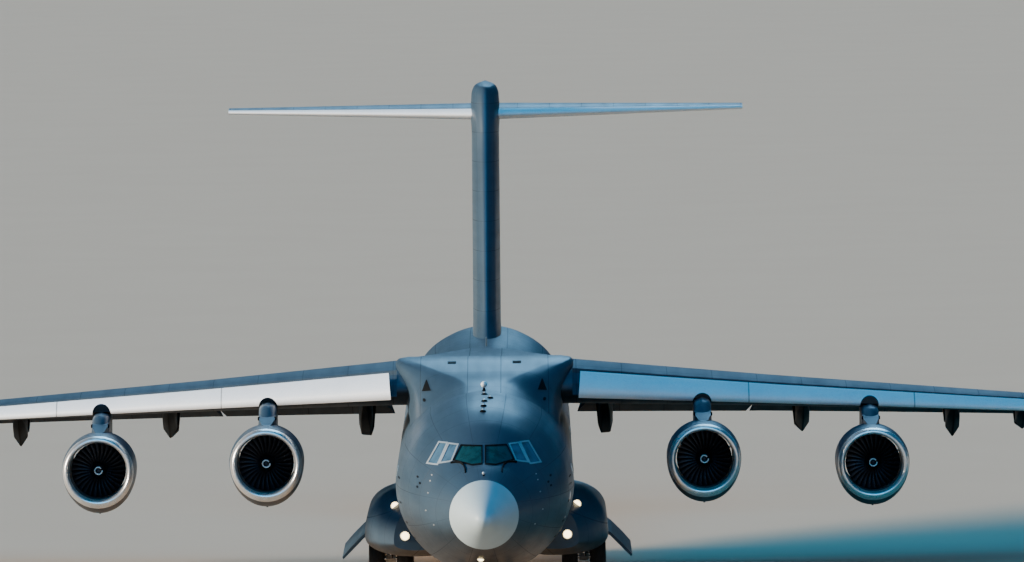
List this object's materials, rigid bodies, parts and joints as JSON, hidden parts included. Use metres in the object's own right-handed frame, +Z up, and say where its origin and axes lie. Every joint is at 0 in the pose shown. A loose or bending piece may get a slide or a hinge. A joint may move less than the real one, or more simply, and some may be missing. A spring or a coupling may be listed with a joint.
{
  "type": "military transport plane, four-engine, T-tailed, as a 1:2 scale model",
  "caption": "Half-scale model of a high-wing T-tailed military transport plane on its gear, with hollow hold, ramp, engine fans and control surfaces.",
  "frame": {"origin": "on the ground, below the middle of the model's bounding box", "axes": "+Z up, +X towards the aircraft's left wing, +Y towards the tail"},
  "size_m": [24, 23.5, 7.5],
  "materials": {
    "skin": "satin blue-grey aircraft paint",
    "radome": "satin lighter grey composite",
    "glass": "dark glazing in painted frames",
    "bare_metal": "polished bare leading edge",
    "engine_metal": "heat-stained metal",
    "fan_metal": "dark blue-black blades",
    "leg_paint": "gloss white paint",
    "rubber": "worn black rubber"
  },
  "bodies": {
    "airframe": {"fuselage": "skin", "radome": "radome", "windscreen": "glass", "wing_fairing": "skin", "wing_left": "skin", "wing_right": "skin", "fin": "skin", "tailplane_left": "skin", "tailplane_right": "skin", "nacelle_1": "skin", "nacelle_2": "skin", "nacelle_3": "skin", "nacelle_4": "skin", "engine_1": "engine_metal", "engine_2": "engine_metal", "engine_3": "engine_metal", "engine_4": "engine_metal", "pylon_1": "skin", "pylon_2": "skin", "pylon_3": "skin", "pylon_4": "skin", "sponson_left": "skin", "sponson_right": "skin", "main_legs_left": "leg_paint", "main_legs_right": "leg_paint", "nose_leg": "leg_paint", "main_gear_door_left": "skin", "main_gear_door_right": "skin", "nose_gear_door_left": "skin", "nose_gear_door_right": "skin"},
    "slat_left": {"slat_left": "bare_metal"},
    "slat_right": {"slat_right": "bare_metal"},
    "inboard_flap_left": {"inboard_flap_left": "skin"},
    "inboard_flap_right": {"inboard_flap_right": "skin"},
    "outboard_flap_left": {"outboard_flap_left": "skin"},
    "outboard_flap_right": {"outboard_flap_right": "skin"},
    "aileron_left": {"aileron_left": "skin"},
    "aileron_right": {"aileron_right": "skin"},
    "rudder": {"rudder": "skin"},
    "elevator_left": {"elevator_left": "skin"},
    "elevator_right": {"elevator_right": "skin"},
    "fan_1": {"fan_1": "fan_metal"},
    "fan_2": {"fan_2": "fan_metal"},
    "fan_3": {"fan_3": "fan_metal"},
    "fan_4": {"fan_4": "fan_metal"},
    "cargo_ramp": {"cargo_ramp": "skin"},
    "aft_cargo_door": {"aft_cargo_door": "skin"},
    "crew_door": {"crew_door": "skin"},
    "nose_steering": {"nose_steering_leg": "leg_paint"},
    "nose_wheels": {"nose_wheels": "rubber"},
    "main_wheels_left_1": {"main_wheels_left_1": "rubber"},
    "main_wheels_left_2": {"main_wheels_left_2": "rubber"},
    "main_wheels_left_3": {"main_wheels_left_3": "rubber"},
    "main_wheels_right_1": {"main_wheels_right_1": "rubber"},
    "main_wheels_right_2": {"main_wheels_right_2": "rubber"},
    "main_wheels_right_3": {"main_wheels_right_3": "rubber"}
  },
  "joints": [
    {"name": "slat_left", "type": "hinge", "parent": "airframe", "child": "slat_left", "pos_m": [1.49, -4.06013, 2.29136], "axis": [0.9038, 0.4277, -0.0175], "range_deg": [-12, 0]},
    {"name": "slat_right", "type": "hinge", "parent": "airframe", "child": "slat_right", "pos_m": [-1.49, -4.06013, 2.29136], "axis": [0.9038, -0.4277, 0.0175], "range_deg": [-12, 0]},
    {"name": "inboard_flap_left", "type": "hinge", "parent": "airframe", "child": "inboard_flap_left", "pos_m": [1.8, -0.90429, 2.25409], "axis": [-0.9762, -0.2169, -0.0029], "range_deg": [-20, 20]},
    {"name": "inboard_flap_right", "type": "hinge", "parent": "airframe", "child": "inboard_flap_right", "pos_m": [-1.8, -0.90429, 2.25409], "axis": [-0.9762, 0.2169, 0.0029], "range_deg": [-20, 20]},
    {"name": "outboard_flap_left", "type": "hinge", "parent": "airframe", "child": "outboard_flap_left", "pos_m": [4.57, -0.28527, 2.26091], "axis": [-0.9642, -0.2644, 0.0181], "range_deg": [-20, 20]},
    {"name": "outboard_flap_right", "type": "hinge", "parent": "airframe", "child": "outboard_flap_right", "pos_m": [-4.57, -0.28527, 2.26091], "axis": [-0.9642, 0.2644, -0.0181], "range_deg": [-20, 20]},
    {"name": "aileron_left", "type": "hinge", "parent": "airframe", "child": "aileron_left", "pos_m": [9.18, 1.05059, 2.58185], "axis": [-0.9644, -0.2522, 0.0791], "range_deg": [-25, 20]},
    {"name": "aileron_right", "type": "hinge", "parent": "airframe", "child": "aileron_right", "pos_m": [-9.18, 1.05059, 2.58185], "axis": [-0.9644, 0.2522, -0.0791], "range_deg": [-25, 20]},
    {"name": "rudder", "type": "hinge", "parent": "airframe", "child": "rudder", "pos_m": [0, 9.01591, 3.725], "axis": [0, 0.3772, 0.9261], "range_deg": [-25, 25]},
    {"name": "elevator_left", "type": "hinge", "parent": "airframe", "child": "elevator_left", "pos_m": [0.31, 10.61978, 7.03221], "axis": [-0.9787, -0.2053, 0.0045], "range_deg": [-25, 15]},
    {"name": "elevator_right", "type": "hinge", "parent": "airframe", "child": "elevator_right", "pos_m": [-0.31, 10.61978, 7.03221], "axis": [-0.9787, 0.2053, -0.0045], "range_deg": [-25, 15]},
    {"name": "fan_1", "type": "hinge", "parent": "airframe", "child": "fan_1", "pos_m": [6.115, -3.525, 1.985], "axis": [0, 1, 0], "continuous": true},
    {"name": "fan_2", "type": "hinge", "parent": "airframe", "child": "fan_2", "pos_m": [3.425, -5.025, 2.185], "axis": [0, 1, 0], "continuous": true},
    {"name": "fan_3", "type": "hinge", "parent": "airframe", "child": "fan_3", "pos_m": [-3.425, -5.025, 2.185], "axis": [0, 1, 0], "continuous": true},
    {"name": "fan_4", "type": "hinge", "parent": "airframe", "child": "fan_4", "pos_m": [-6.115, -3.525, 1.985], "axis": [0, 1, 0], "continuous": true},
    {"name": "cargo_ramp", "type": "hinge", "parent": "airframe", "child": "cargo_ramp", "pos_m": [0, 3, 0.69], "axis": [-1, 0, 0], "range_deg": [0, 24]},
    {"name": "aft_cargo_door", "type": "hinge", "parent": "airframe", "child": "aft_cargo_door", "pos_m": [0, 8.65, 2.585], "axis": [-1, 0, 0], "range_deg": [0, 18]},
    {"name": "crew_door", "type": "hinge", "parent": "airframe", "child": "crew_door", "pos_m": [1.02, -8.3625, 1.175], "axis": [0, 1, 0], "range_deg": [0, 120]},
    {"name": "nose_steering", "type": "hinge", "parent": "airframe", "child": "nose_steering", "pos_m": [0, -8.5, 0.5], "axis": [0, 0, 1], "range_deg": [-60, 60]},
    {"name": "nose_wheels", "type": "hinge", "parent": "nose_steering", "child": "nose_wheels", "pos_m": [0, -8.5, 0.245], "axis": [1, 0, 0], "continuous": true},
    {"name": "main_wheels_left_1", "type": "hinge", "parent": "airframe", "child": "main_wheels_left_1", "pos_m": [1.55, -1.25, 0.325], "axis": [1, 0, 0], "continuous": true},
    {"name": "main_wheels_left_2", "type": "hinge", "parent": "airframe", "child": "main_wheels_left_2", "pos_m": [1.55, -0.375, 0.325], "axis": [1, 0, 0], "continuous": true},
    {"name": "main_wheels_left_3", "type": "hinge", "parent": "airframe", "child": "main_wheels_left_3", "pos_m": [1.55, 0.5, 0.325], "axis": [1, 0, 0], "continuous": true},
    {"name": "main_wheels_right_1", "type": "hinge", "parent": "airframe", "child": "main_wheels_right_1", "pos_m": [-1.55, -1.25, 0.325], "axis": [1, 0, 0], "continuous": true},
    {"name": "main_wheels_right_2", "type": "hinge", "parent": "airframe", "child": "main_wheels_right_2", "pos_m": [-1.55, -0.375, 0.325], "axis": [1, 0, 0], "continuous": true},
    {"name": "main_wheels_right_3", "type": "hinge", "parent": "airframe", "child": "main_wheels_right_3", "pos_m": [-1.55, 0.5, 0.325], "axis": [1, 0, 0], "continuous": true}
  ]
}
